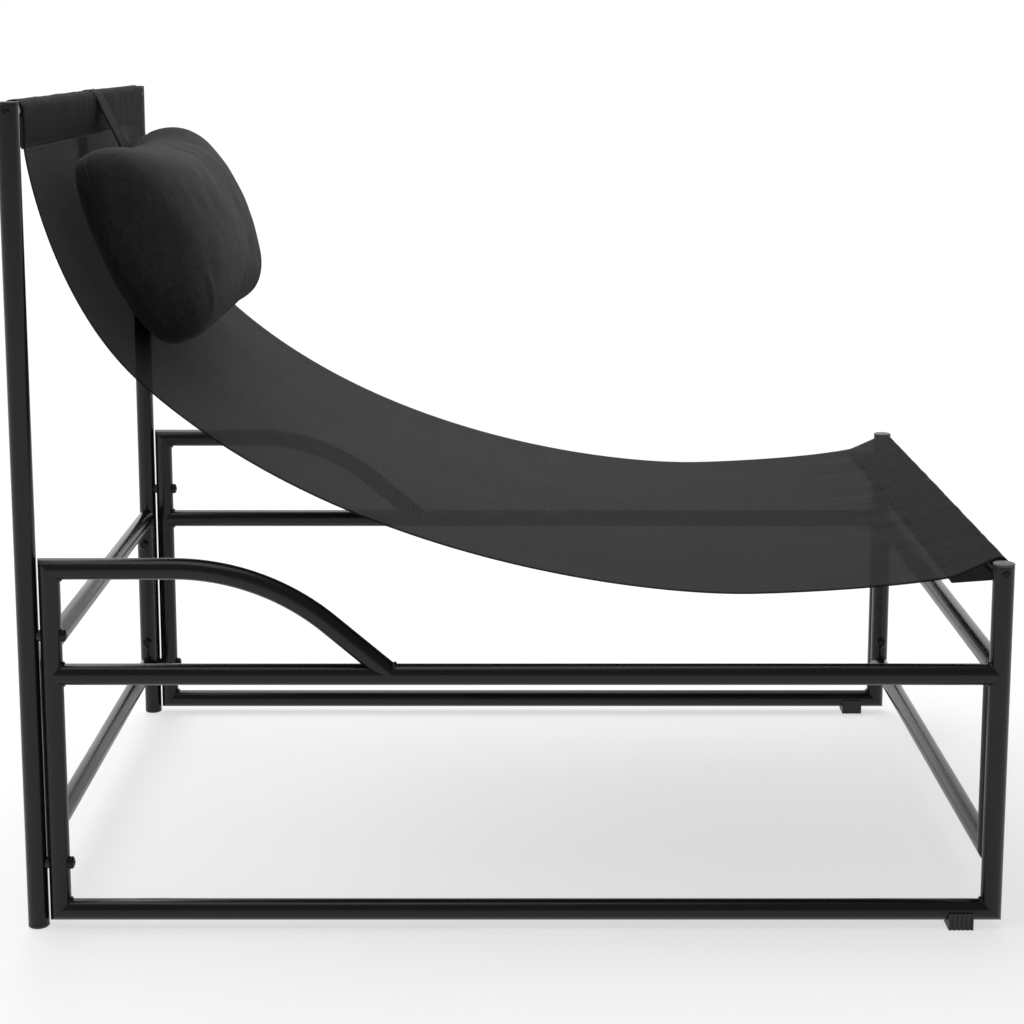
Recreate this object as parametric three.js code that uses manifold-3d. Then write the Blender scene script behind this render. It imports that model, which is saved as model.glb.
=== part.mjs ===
// Sun lounger: two welded tube side frames joined by a rear and a front cross frame, two sling
// bars with a fabric sling hung between them, and a head pillow on a strap over the rear bar.
// Millimetres. +X runs to the foot end, +Y across to the far side, +Z up. The origin is on the
// ground under the middle of the object.
import * as THREE from 'three';
import { mergeVertices } from 'three/addons/utils/BufferGeometryUtils.js';
import Module from 'manifold-3d';

const kernel = await Module();
kernel.setup();

// ---- Driving dimensions ----

// Overall
const overallLength = 1015;    // rear face of the uprights to the front face of the posts
const rearHeight = 853;        // top of the rear upright caps
const frontHeight = 389;       // top of the front post caps
const sideSpacing = 700;       // centre to centre of the two side frames

// Tubes
const tubeDiameter = 22;
const tubeWall = 1.2;
const barDiameter = 20;        // the two sling bars
const barWall = 1.5;

// Heights of the rail centre lines
const railClearance = 7;       // under the bottom rail
const midRailHeight = 272;
const armrestHeight = 383;
const crossLowHeight = 75;
const crossHighHeight = 275;
const barDrop = 10;            // sling bar centre below the top of its post

// Armrest
const armBendStart = 126;      // from the rear leg to where the bend starts
const armBendRadius = 244;
const armSlope = 40.3;         // degrees, the armrest's lower end

// Gaps
const jointGap = 0.3;          // between parts that touch or are welded
const legGap = 1.6;            // between rear upright and rear leg
const crossGap = 1;            // between a post and the cross frame's vertical
const slingSideGap = 5;        // between a post and the sling's side edge

// Bolts
const boltDiameter = 6;
const boltHeadDiameter = 13;
const boltHeadHeight = 5;
const boltHeadSink = 2.5;      // how far a head's skirt reaches down the side of its tube
const boltReach = 8;           // length of shank inside the post it clamps to
const legBoltLow = 69;
const legBoltHigh = 313;
const crossBoltOffset = 68;    // above and below the middle of the cross frame
const spacerDiameter = 12;
const screwDiameter = 5;
const screwHeadDiameter = 9;
const screwHeadHeight = 2;
const screwHeadSink = 1.5;     // how far a head's skirt reaches down the side of its post
const screwHeadRound = 0.6;
const screwReach = 16;         // length of screw inside a sling bar
const insertLength = 20;       // threaded insert in the end of a sling bar

// End pieces
const capHeight = 2.5;
const capStem = 4;
const capRound = 0.7;          // rounded edge of a cap
const plugHeight = 3;
const plugStem = 18;
const plugRound = 1;
const footLength = 25.6;
const footInset = 33;          // foot centre behind the front post's centre
const footSide = 2.4;          // foot wall beside the rail
const footRibs = 6;
const footRibDepth = 1;

// Sling
const slingThickness = 1;
const sleeveGap = 0.3;         // between a sling bar and the sleeve around it
const sleeveDepth = 34;        // rear bar centre down to the sleeve's seam
const frontSleeveDepth = 45;   // front bar centre back to the sleeve's seam
const frontSeamDrop = 8.7;     // front seam below the front bar's centre
const hemTail = 5;             // how far the front sleeve's seam hangs below the sheet
const waistAlong = 0.1206;     // share of the way from the rear bar to the front bar
const waistUp = 0.4147;        // share of the way up from the front bar to the rear bar
const waistSlope = -42.9;      // degrees
const lowestAlong = 0.7347;
const lowestUp = -0.0566;
const frontSlope = 11.7;       // degrees, where the sheet meets the front sleeve

// Pillow
const pillowWidth = 460;
const pillowHeight = 224;
const pillowThickness = 120;
const pillowDown = 144;        // along the sling from the rear seam to the pillow's middle
const pillowLean = 22;         // degrees back from upright
const pillowGap = 1;           // between pillow and sling
const pillowRoundness = 2.6;   // 2 is an ellipse, more is squarer
const pillowEndRoundness = 6;

// Strap
const strapWidth = 48;
const strapThickness = 1;
const strapOffset = 55;        // strap's middle to the far side of the pillow's middle
const strapGap = 0.4;          // between the strap and the rear sleeve
const strapSeamBack = 28;      // strap's seam behind the pillow's middle plane
const strapEndGap = 1;
const strapTail = 110;         // hanging length behind the rear bar

// Facets
const tubeFacets = 20;
const boltFacets = 12;
const armrestSteps = 16;
const sleeveArcSteps = 10;
const slingSteps = 12;         // per curve of the sling's profile
const pillowFacets = 28;

// ---- Derived places ----

const tubeRadius = tubeDiameter / 2;
const barRadius = barDiameter / 2;
const postX = overallLength / 2 - tubeRadius;
const uprightX = -postX;
const legX = uprightX + tubeDiameter + legGap;
const sideY = sideSpacing / 2;
const crossY = sideY - tubeDiameter - crossGap;
const bottomRailHeight = railClearance + tubeRadius;
const crossMiddle = (crossLowHeight + crossHighHeight) / 2;
const rearBarHeight = rearHeight - barDrop;
const frontBarHeight = frontHeight - barDrop;
const slingWidth = sideSpacing - tubeDiameter - 2 * slingSideGap;

const xAxis = new THREE.Vector3(1, 0, 0);
const yAxis = new THREE.Vector3(0, 1, 0);
const zAxis = new THREE.Vector3(0, 0, 1);

// ---- Materials ----

const finishes = {
  tube: { color: 0x232427, roughness: 0.34, metalness: 0.2 },
  bolt: { color: 0x2b2c2f, roughness: 0.3, metalness: 0.8 },
  plastic: { color: 0x151517, roughness: 0.6, metalness: 0 },
  cap: { color: 0x6f7276, roughness: 0.45, metalness: 0 },
  insert: { color: 0x8a8d91, roughness: 0.4, metalness: 0.9 },
  sling: { color: 0x3b3c3f, roughness: 0.85, metalness: 0 },
  pillow: { color: 0x2e2f32, roughness: 0.95, metalness: 0 },
  strap: { color: 0x3a3b3e, roughness: 0.9, metalness: 0 },
};

// ---- Solids: from geometry to closed solid and back ----

function solidOf(geometry) {
  const bare = geometry.clone();
  bare.deleteAttribute('normal');
  bare.deleteAttribute('uv');
  const merged = mergeVertices(bare, 1e-4);
  return new kernel.Manifold(new kernel.Mesh({
    numProp: 3,
    vertProperties: new Float32Array(merged.attributes.position.array),
    triVerts: new Uint32Array(merged.index.array),
  }));
}

function geometryOf(solid) {
  const mesh = solid.getMesh();
  const geometry = new THREE.BufferGeometry();
  geometry.setAttribute('position', new THREE.BufferAttribute(mesh.vertProperties, 3));
  geometry.setIndex(new THREE.BufferAttribute(mesh.triVerts, 1));
  geometry.computeVertexNormals();
  return geometry;
}

function piece(name, finish, solid) {
  const mesh = new THREE.Mesh(geometryOf(solid), new THREE.MeshStandardMaterial(finishes[finish]));
  mesh.name = name;
  return mesh;
}

// ---- Basic shapes ----

function circle(radius, facets) {
  const outline = new THREE.Shape();
  for (let i = 0; i < facets; i += 1) {
    const angle = (2 * Math.PI * i) / facets;
    const x = radius * Math.cos(angle);
    const y = radius * Math.sin(angle);
    if (i === 0) outline.moveTo(x, y);
    else outline.lineTo(x, y);
  }
  outline.closePath();
  return outline;
}

// A geometry built along +Z from the origin is turned and moved to run from one point to another.
function placed(geometry, from, direction) {
  geometry.applyQuaternion(new THREE.Quaternion().setFromUnitVectors(zAxis, direction));
  geometry.translate(from.x, from.y, from.z);
  return geometry;
}

function rod(from, to, diameter, facets = tubeFacets) {
  const along = to.clone().sub(from);
  const outline = circle(diameter / 2, facets);
  const geometry = new THREE.ExtrudeGeometry(outline, { depth: along.length(), bevelEnabled: false });
  return solidOf(placed(geometry, from, along.normalize()));
}

function ringShape(diameter, wall, facets = tubeFacets) {
  const outline = circle(diameter / 2, facets);
  outline.holes.push(circle(diameter / 2 - wall, facets));
  return outline;
}

function tube(from, to, diameter = tubeDiameter, wall = tubeWall) {
  const along = to.clone().sub(from);
  const shape = ringShape(diameter, wall);
  const geometry = new THREE.ExtrudeGeometry(shape, { depth: along.length(), bevelEnabled: false });
  return solidOf(placed(geometry, from, along.normalize()));
}

// A turned piece. The profile is [radius, height] points from the axis and back to it.
function turned(profile, from, direction, facets = tubeFacets) {
  const points = profile.map(([radius, height]) => new THREE.Vector2(radius, height));
  const geometry = new THREE.LatheGeometry(points, facets);
  geometry.rotateX(Math.PI / 2);
  return solidOf(placed(geometry, from, direction));
}

// Cuts away what lies beyond the plane through a point, leaving half a joint gap.
function mitred(solid, corner, normal) {
  const size = 8 * tubeDiameter;
  const box = new THREE.BoxGeometry(size, size, size);
  box.translate(0, 0, size / 2 - jointGap / 2);
  return solid.subtract(solidOf(placed(box, corner, normal.clone().normalize())));
}

// An outline in the XZ plane, extruded to both sides of the plane Y = middle.
function acrossY(shape, width, middle = 0) {
  const geometry = new THREE.ExtrudeGeometry(shape, { depth: width, bevelEnabled: false });
  geometry.rotateX(Math.PI / 2);
  geometry.translate(0, middle + width / 2, 0);
  return solidOf(geometry);
}

function point(x, y, z) {
  return new THREE.Vector3(x, y, z);
}

// ---- Side frames ----

const clearDiameter = tubeDiameter + 2 * jointGap;
const boltHole = boltDiameter + 2 * jointGap;
const screwHole = screwDiameter + 2 * jointGap;

const rearTopCorner = (y) => point(legX, y, armrestHeight);
const rearLowCorner = (y) => point(legX, y, bottomRailHeight);
const frontLowCorner = (y) => point(postX, y, bottomRailHeight);

function legHoles(y) {
  const start = uprightX;
  const end = legX + tubeDiameter;
  const low = rod(point(start, y, legBoltLow), point(end, y, legBoltLow), boltHole, boltFacets);
  const high = rod(point(start, y, legBoltHigh), point(end, y, legBoltHigh), boltHole, boltFacets);
  return low.add(high);
}

function crossHoles(x, side) {
  const inner = side * (crossY - tubeDiameter);
  const outer = side * sideY;
  let holes = null;
  for (const offset of [-crossBoltOffset, crossBoltOffset]) {
    const height = crossMiddle + offset;
    const hole = rod(point(x, inner, height), point(x, outer, height), boltHole, boltFacets);
    holes = holes ? holes.add(hole) : hole;
  }
  return holes;
}

function barScrewHole(x, side, height) {
  const from = point(x, side * (sideY - 2 * tubeDiameter), height);
  const to = point(x, side * (sideY + tubeDiameter), height);
  return rod(from, to, screwHole, boltFacets);
}

function rearUpright(side) {
  const y = side * sideY;
  const bottom = point(uprightX, y, plugHeight + jointGap);
  const top = point(uprightX, y, rearHeight - capHeight - jointGap);
  return tube(bottom, top)
    .subtract(legHoles(y))
    .subtract(crossHoles(uprightX, side))
    .subtract(barScrewHole(uprightX, side, rearBarHeight));
}

function rearLeg(side) {
  const y = side * sideY;
  const top = rearTopCorner(y);
  const bottom = rearLowCorner(y);
  let leg = tube(point(legX, y, bottom.z - tubeDiameter), point(legX, y, top.z + tubeDiameter));
  leg = mitred(leg, top, point(1, 0, 1));
  leg = mitred(leg, bottom, point(1, 0, -1));
  return leg.subtract(legHoles(y));
}

function bottomRail(side) {
  const y = side * sideY;
  const rear = rearLowCorner(y);
  const front = frontLowCorner(y);
  let rail = tube(point(legX - tubeDiameter, y, rear.z), point(postX + tubeDiameter, y, front.z));
  rail = mitred(rail, rear, point(-1, 0, 1));
  return mitred(rail, front, point(1, 0, 1));
}

function frontPost(side) {
  const y = side * sideY;
  const bottom = frontLowCorner(y);
  const top = frontHeight - capHeight - jointGap;
  const post = tube(point(postX, y, bottom.z - tubeDiameter), point(postX, y, top));
  return mitred(post, bottom, point(-1, 0, -1))
    .subtract(crossHoles(postX, side))
    .subtract(barScrewHole(postX, side, frontBarHeight));
}

function midRail(side) {
  const y = side * sideY;
  const legBody = rod(point(legX, y, bottomRailHeight), point(legX, y, armrestHeight), clearDiameter);
  const postBody = rod(point(postX, y, bottomRailHeight), point(postX, y, frontHeight), clearDiameter);
  return tube(point(legX, y, midRailHeight), point(postX, y, midRailHeight))
    .subtract(legBody)
    .subtract(postBody);
}

// An arc in the XZ plane, from straight up over its centre forward and down by an angle.
class BendCurve extends THREE.Curve {
  constructor(centre, radius, sweep) {
    super();
    this.centre = centre;
    this.radius = radius;
    this.sweep = sweep;
  }

  getPoint(t, target = new THREE.Vector3()) {
    const angle = t * this.sweep;
    return target.set(
      this.centre.x + this.radius * Math.sin(angle),
      this.centre.y,
      this.centre.z + this.radius * Math.cos(angle),
    );
  }
}

// The armrest runs forward from the leg, bends down and meets the mid rail.
function armrestPath(y) {
  const slope = THREE.MathUtils.degToRad(armSlope);
  const bendX = legX + armBendStart;
  const bendEnd = point(
    bendX + armBendRadius * Math.sin(slope),
    y,
    armrestHeight - armBendRadius * (1 - Math.cos(slope)),
  );
  const fall = bendEnd.z - midRailHeight;
  const end = point(bendEnd.x + fall / Math.tan(slope), y, midRailHeight);
  const start = point(legX - tubeDiameter, y, armrestHeight);
  const path = new THREE.CurvePath();
  path.add(new THREE.LineCurve3(start, point(bendX, y, armrestHeight)));
  path.add(new BendCurve(point(bendX, y, armrestHeight - armBendRadius), armBendRadius, slope));
  path.add(new THREE.LineCurve3(bendEnd, end));
  return path;
}

function armrest(side) {
  const y = side * sideY;
  const shape = ringShape(tubeDiameter, tubeWall);
  const sweep = { steps: armrestSteps, extrudePath: armrestPath(y) };
  const bent = solidOf(new THREE.ExtrudeGeometry(shape, sweep));
  const railBody = rod(point(legX, y, midRailHeight), point(postX, y, midRailHeight), clearDiameter);
  return mitred(bent, rearTopCorner(y), point(-1, 0, -1)).subtract(railBody);
}

// ---- Cross frames: two bars and two verticals, mitred into a rectangle ----

function crossBar(x, height, isUpper) {
  const lift = isUpper ? 1 : -1;
  const reach = crossY + tubeDiameter;
  let bar = tube(point(x, -reach, height), point(x, reach, height));
  bar = mitred(bar, point(x, crossY, height), point(0, 1, -lift));
  return mitred(bar, point(x, -crossY, height), point(0, -1, -lift));
}

function crossVertical(x, side) {
  const y = side * crossY;
  const low = point(x, y, crossLowHeight);
  const high = point(x, y, crossHighHeight);
  let vertical = tube(point(x, y, low.z - tubeDiameter), point(x, y, high.z + tubeDiameter));
  vertical = mitred(vertical, low, point(0, -side, -1));
  vertical = mitred(vertical, high, point(0, -side, 1));
  return vertical.subtract(crossHoles(x, side));
}

// ---- Sling bars ----

function barPostBodies(x) {
  const far = rod(point(x, sideY, 0), point(x, sideY, rearHeight), clearDiameter);
  const near = rod(point(x, -sideY, 0), point(x, -sideY, rearHeight), clearDiameter);
  return far.add(near);
}

function slingBar(x, height) {
  return tube(point(x, -sideY, height), point(x, sideY, height), barDiameter, barWall)
    .subtract(barPostBodies(x));
}

const insertDiameter = barDiameter - 2 * barWall - 2 * jointGap;

function barInsert(x, side, height) {
  const outer = side * sideY;
  const inner = side * (sideY - tubeRadius - insertLength);
  return rod(point(x, inner, height), point(x, outer, height), insertDiameter)
    .subtract(barPostBodies(x))
    .subtract(barScrewHole(x, side, height));
}

function barScrew(x, side, height) {
  const from = point(x, side * (sideY + tubeRadius + screwHeadHeight), height);
  const length = screwHeadHeight + tubeDiameter + screwReach;
  const headRadius = screwHeadDiameter / 2;
  const headDepth = screwHeadHeight + screwHeadSink;
  const profile = [
    [0, 0],
    [headRadius - screwHeadRound, 0],
    [headRadius, screwHeadRound],
    [headRadius, headDepth],
    [0, headDepth],
  ];
  const inward = yAxis.clone().multiplyScalar(-side);
  const postBody = rod(point(x, side * sideY, 0), point(x, side * sideY, rearHeight), clearDiameter);
  const head = turned(profile, from, inward, boltFacets).subtract(postBody);
  const start = from.clone().addScaledVector(inward, screwHeadHeight / 2);
  const tip = from.clone().addScaledVector(inward, length);
  return head.add(rod(start, tip, screwDiameter, boltFacets));
}

// ---- Bolts, spacers ----

// A domed bolt whose head sits on a tube. `seat` is where its axis meets the tube's surface and
// `inward` the way its shank goes.
function bolt(seat, inward, seatTube, shank) {
  const radius = boltHeadDiameter / 2;
  const top = seat.clone().addScaledVector(inward, -boltHeadHeight);
  const profile = [
    [0, 0],
    [0.55 * radius, 0.1 * boltHeadHeight],
    [0.9 * radius, 0.4 * boltHeadHeight],
    [radius, 0.7 * boltHeadHeight],
    [radius, boltHeadHeight + boltHeadSink],
    [0, boltHeadHeight + boltHeadSink],
  ];
  const head = turned(profile, top, inward, boltFacets).subtract(seatTube);
  const from = top.clone().addScaledVector(inward, boltHeadHeight / 2);
  const to = seat.clone().addScaledVector(inward, shank);
  return head.add(rod(from, to, boltDiameter, boltFacets));
}

function legBolt(side, height) {
  const y = side * sideY;
  const seat = point(legX + tubeRadius, y, height);
  const legBody = rod(point(legX, y, bottomRailHeight), point(legX, y, armrestHeight), clearDiameter);
  return bolt(seat, xAxis.clone().negate(), legBody, tubeDiameter + legGap + boltReach);
}

function crossBolt(x, side, height) {
  const y = side * crossY;
  const seat = point(x, side * (crossY - tubeRadius), height);
  const vertical = rod(point(x, y, crossLowHeight), point(x, y, crossHighHeight), clearDiameter);
  const inward = yAxis.clone().multiplyScalar(side);
  return bolt(seat, inward, vertical, tubeDiameter + crossGap + boltReach);
}

// A saddle washer that fills the gap between rear upright and rear leg around a bolt.
function legSpacer(side, height) {
  const y = side * sideY;
  const uprightBody = rod(point(uprightX, y, 0), point(uprightX, y, rearHeight), clearDiameter);
  const legBody = rod(point(legX, y, 0), point(legX, y, rearHeight), clearDiameter);
  const hole = rod(point(uprightX, y, height), point(legX, y, height), boltHole, boltFacets);
  return rod(point(uprightX, y, height), point(legX, y, height), spacerDiameter, boltFacets)
    .subtract(uprightBody)
    .subtract(legBody)
    .subtract(hole);
}

// ---- End pieces ----

const stemRadius = tubeRadius - tubeWall - jointGap;

function postCap(x, side, top) {
  const profile = [
    [0, 0],
    [stemRadius, 0],
    [stemRadius, capStem + jointGap],
    [tubeRadius, capStem + jointGap],
    [tubeRadius, capStem + capHeight - capRound],
    [tubeRadius - capRound, capStem + capHeight],
    [0, capStem + capHeight],
  ];
  return turned(profile, point(x, side * sideY, top - capHeight - capStem), zAxis);
}

function uprightPlug(side) {
  const profile = [
    [0, 0],
    [tubeRadius - plugRound, 0],
    [tubeRadius, plugRound],
    [tubeRadius, plugHeight],
    [stemRadius, plugHeight],
    [stemRadius, plugHeight + plugStem],
    [0, plugHeight + plugStem],
  ];
  return turned(profile, point(uprightX, side * sideY, 0), zAxis);
}

// A ribbed shoe that clips round the lower half of the bottom rail: a core as deep as the grooves,
// with a rib at each end and the others evenly between them.
function frontFoot(side) {
  const y = side * sideY;
  const x = postX - footInset;
  const half = tubeRadius + footSide;
  const ribLength = footLength / (2 * footRibs - 1);
  const core = new THREE.BoxGeometry(footLength, 2 * (half - footRibDepth), bottomRailHeight);
  core.translate(x, y, bottomRailHeight / 2);
  let shoe = solidOf(core);
  for (let i = 0; i < footRibs; i += 1) {
    const rib = new THREE.BoxGeometry(ribLength, 2 * half, bottomRailHeight);
    rib.translate(x - footLength / 2 + (2 * i + 0.5) * ribLength, y, bottomRailHeight / 2);
    shoe = shoe.add(solidOf(rib));
  }
  const railBody = rod(point(legX, y, bottomRailHeight), point(postX, y, bottomRailHeight), clearDiameter);
  return shoe.subtract(railBody);
}

// ---- Sling ----

const rearBar = new THREE.Vector2(uprightX, rearBarHeight);
const frontBar = new THREE.Vector2(postX, frontBarHeight);
const sleeveInner = barRadius + sleeveGap;
const sleeveMiddle = sleeveInner + slingThickness / 2;
const rearSeam = new THREE.Vector2(rearBar.x + sleeveMiddle, rearBar.y - sleeveDepth);
const frontSeam = new THREE.Vector2(frontBar.x - frontSleeveDepth, frontBar.y - frontSeamDrop);

// A point of the sling's profile, as a share of the way from the rear bar to the front bar and a
// share of the way up from the front bar to the rear bar.
function slingPoint(along, up) {
  return new THREE.Vector2(
    rearBar.x + along * (frontBar.x - rearBar.x),
    frontBar.y + up * (rearBar.y - frontBar.y),
  );
}

function heading(degrees) {
  const angle = THREE.MathUtils.degToRad(degrees);
  return new THREE.Vector2(Math.cos(angle), Math.sin(angle));
}

function bezier(from, startWay, startPull, to, endWay, endPull) {
  return new THREE.CubicBezierCurve(
    from,
    from.clone().addScaledVector(startWay, startPull),
    to.clone().addScaledVector(endWay, -endPull),
    to,
  );
}

// The sling hangs straight down from the rear sleeve, turns into the seat at the waist, runs level
// at its lowest point and rises to the front sleeve. A pull is how far a curve's handle reaches, as
// a share of the span between the bars.
function slingProfile() {
  const span = frontBar.x - rearBar.x;
  const waist = slingPoint(waistAlong, waistUp);
  const lowest = slingPoint(lowestAlong, lowestUp);
  const down = heading(-90);
  const lean = heading(waistSlope);
  const level = heading(0);
  const rise = heading(frontSlope);
  const pull = (share) => share * span;
  const profile = new THREE.CurvePath();
  profile.add(bezier(rearSeam, down, pull(0.014), waist, lean, pull(0.12)));
  profile.add(bezier(waist, lean, pull(0.262), lowest, level, pull(0.122)));
  profile.add(bezier(lowest, level, pull(0.044), frontSeam, rise, pull(0.054)));
  return profile;
}

const slingCurve = slingProfile();

function curvePoints(path, steps) {
  const points = [];
  for (const curve of path.curves) {
    const first = points.length === 0 ? 0 : 1;
    for (let i = first; i <= steps; i += 1) points.push(curve.getPoint(i / steps));
  }
  return points;
}

// A strip along a line of points, so far to its left and so far to its right.
function band(points, leftDepth, rightDepth) {
  const left = [];
  const right = [];
  points.forEach((here, i) => {
    const before = points[Math.max(i - 1, 0)];
    const after = points[Math.min(i + 1, points.length - 1)];
    const way = after.clone().sub(before).normalize();
    const normal = new THREE.Vector2(-way.y, way.x);
    left.push(here.clone().addScaledVector(normal, leftDepth));
    right.push(here.clone().addScaledVector(normal, -rightDepth));
  });
  return new THREE.Shape([...left, ...right.reverse()]);
}

function strip(points, thickness) {
  return band(points, thickness / 2, thickness / 2);
}

function tangentAngles(centre, radius, from) {
  const reach = from.clone().sub(centre);
  const base = Math.atan2(reach.y, reach.x);
  const open = Math.acos(radius / reach.length());
  return [base + open, base - open];
}

function arcPoints(centre, radius, start, end, steps) {
  const points = [];
  for (let i = 0; i <= steps; i += 1) {
    const angle = start + ((end - start) * i) / steps;
    const reach = heading(THREE.MathUtils.radToDeg(angle)).multiplyScalar(radius);
    points.push(centre.clone().add(reach));
  }
  return points;
}

// A loop: round a bar from one tip to the other, each tip drawn out along a tangent. `extra` moves
// the tips away from the bar.
function loopShape(centre, radius, firstTip, lastTip, extra) {
  const drawn = [firstTip, lastTip].map((tip) => {
    const way = tip.clone().sub(centre).normalize();
    return tip.clone().addScaledVector(way, extra);
  });
  const [start] = tangentAngles(centre, radius, drawn[0]);
  const [, end] = tangentAngles(centre, radius, drawn[1]);
  const round = arcPoints(centre, radius, start, end + 2 * Math.PI, 2 * sleeveArcSteps);
  return new THREE.Shape([...round, drawn[1], drawn[0]]);
}

function sleeve(centre, firstTip, lastTip) {
  const outer = loopShape(centre, sleeveInner + slingThickness, firstTip, lastTip, slingThickness);
  const inner = loopShape(centre, sleeveInner, firstTip, lastTip, -4 * slingThickness);
  return acrossY(outer, slingWidth).subtract(acrossY(inner, slingWidth + 2));
}

function sling() {
  const sheet = acrossY(strip(curvePoints(slingCurve, slingSteps), slingThickness), slingWidth);
  const rearHem = new THREE.Vector2(rearSeam.x - slingThickness, rearSeam.y);
  const frontHem = new THREE.Vector2(frontSeam.x, frontSeam.y - hemTail);
  return sheet
    .add(sleeve(rearBar, rearSeam, rearHem))
    .add(sleeve(frontBar, frontHem, frontSeam));
}

// ---- Pillow ----

const pillowContact = slingCurve.getPointAt(pillowDown / slingCurve.getLength());
const contactWay = slingCurve.getTangentAt(pillowDown / slingCurve.getLength());
const contactNormal = new THREE.Vector2(-contactWay.y, contactWay.x);
const pillowMiddle = pillowContact.clone().addScaledVector(
  contactNormal,
  slingThickness / 2 + pillowGap + pillowThickness / 2,
);
const pillowUp = heading(90 + pillowLean);
const pillowFront = heading(pillowLean);

function power(value, exponent) {
  return Math.sign(value) * Math.abs(value) ** exponent;
}

function pillow() {
  const geometry = new THREE.SphereGeometry(1, pillowFacets, pillowFacets / 2);
  const position = geometry.attributes.position;
  for (let i = 0; i < position.count; i += 1) {
    const radial = Math.hypot(position.getX(i), position.getZ(i));
    const around = Math.atan2(position.getZ(i), position.getX(i));
    const girth = power(radial, 2 / pillowEndRoundness);
    const front = (pillowThickness / 2) * girth * power(Math.cos(around), 2 / pillowRoundness);
    const up = (pillowHeight / 2) * girth * power(Math.sin(around), 2 / pillowRoundness);
    const y = (pillowWidth / 2) * power(position.getY(i), 2 / pillowEndRoundness);
    position.setXYZ(
      i,
      pillowMiddle.x + front * pillowFront.x + up * pillowUp.x,
      y,
      pillowMiddle.y + front * pillowFront.y + up * pillowUp.y,
    );
  }
  const backrest = curvePoints({ curves: slingCurve.curves.slice(0, 2) }, slingSteps);
  const behind = band(backrest, slingThickness / 2 + pillowGap, pillowThickness);
  return solidOf(geometry).subtract(acrossY(behind, slingWidth));
}

// ---- Strap ----

// Where the strap is sewn to the pillow's top.
function seamOnPillow() {
  const share = 1 - (strapSeamBack / (pillowThickness / 2)) ** pillowRoundness;
  const up = (pillowHeight / 2) * share ** (1 / pillowRoundness);
  return pillowMiddle.clone()
    .addScaledVector(pillowFront, -strapSeamBack)
    .addScaledVector(pillowUp, up);
}

const strapRadius = sleeveInner + slingThickness + strapGap + strapThickness / 2;

function strap() {
  const seam = seamOnPillow();
  const [front] = tangentAngles(rearBar, strapRadius, seam);
  const over = arcPoints(rearBar, strapRadius, front, Math.PI, sleeveArcSteps);
  const way = over[0].clone().sub(seam).normalize();
  const start = seam.clone().addScaledVector(way, strapEndGap);
  const tailEnd = new THREE.Vector2(rearBar.x - strapRadius, rearBar.y - strapTail);
  const middle = over[over.length - 1].clone().lerp(tailEnd, 0.5);
  return acrossY(strip([start, ...over, middle, tailEnd], strapThickness), strapWidth, strapOffset);
}

// ---- Assembly ----

const lounger = new THREE.Group();
const sides = [
  { side: -1, label: 'right' },
  { side: 1, label: 'left' },
];

for (const { side, label } of sides) {
  const frame = new THREE.Group();
  frame.add(piece(`rear_upright_${label}`, 'tube', rearUpright(side)));
  frame.add(piece(`rear_leg_${label}`, 'tube', rearLeg(side)));
  frame.add(piece(`bottom_rail_${label}`, 'tube', bottomRail(side)));
  frame.add(piece(`mid_rail_${label}`, 'tube', midRail(side)));
  frame.add(piece(`front_post_${label}`, 'tube', frontPost(side)));
  frame.add(piece(`armrest_${label}`, 'tube', armrest(side)));
  frame.add(piece(`upright_cap_${label}`, 'plastic', postCap(uprightX, side, rearHeight)));
  frame.add(piece(`upright_plug_${label}`, 'plastic', uprightPlug(side)));
  frame.add(piece(`front_post_cap_${label}`, 'cap', postCap(postX, side, frontHeight)));
  frame.add(piece(`front_foot_${label}`, 'plastic', frontFoot(side)));
  for (const [place, height] of [['low', legBoltLow], ['high', legBoltHigh]]) {
    frame.add(piece(`leg_bolt_${place}_${label}`, 'bolt', legBolt(side, height)));
    frame.add(piece(`leg_spacer_${place}_${label}`, 'plastic', legSpacer(side, height)));
  }
  lounger.add(frame);
}

const ends = [
  { x: uprightX, end: 'rear', barHeight: rearBarHeight },
  { x: postX, end: 'front', barHeight: frontBarHeight },
];

for (const { x, end, barHeight } of ends) {
  const frame = new THREE.Group();
  frame.add(piece(`${end}_cross_bar_low`, 'tube', crossBar(x, crossLowHeight, false)));
  frame.add(piece(`${end}_cross_bar_high`, 'tube', crossBar(x, crossHighHeight, true)));
  frame.add(piece(`${end}_sling_bar`, 'tube', slingBar(x, barHeight)));
  for (const { side, label } of sides) {
    frame.add(piece(`${end}_cross_post_${label}`, 'tube', crossVertical(x, side)));
    for (const [place, offset] of [['low', -crossBoltOffset], ['high', crossBoltOffset]]) {
      const name = `${end}_cross_bolt_${place}_${label}`;
      frame.add(piece(name, 'bolt', crossBolt(x, side, crossMiddle + offset)));
    }
    frame.add(piece(`${end}_bar_screw_${label}`, 'bolt', barScrew(x, side, barHeight)));
    frame.add(piece(`${end}_bar_insert_${label}`, 'insert', barInsert(x, side, barHeight)));
  }
  lounger.add(frame);
}

lounger.add(piece('sling', 'sling', sling()));
lounger.add(piece('pillow', 'pillow', pillow()));
lounger.add(piece('pillow_strap', 'strap', strap()));

export default lounger;
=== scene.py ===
"""Looks of the sun lounger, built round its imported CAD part.

Metres, +X to the foot end, +Y to the far side, +Z up, origin on the ground under the middle.
"""

import math

import bmesh
import bpy
import numpy as np
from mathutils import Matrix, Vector, noise
from mathutils.bvhtree import BVHTree
from mathutils.kdtree import KDTree


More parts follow.
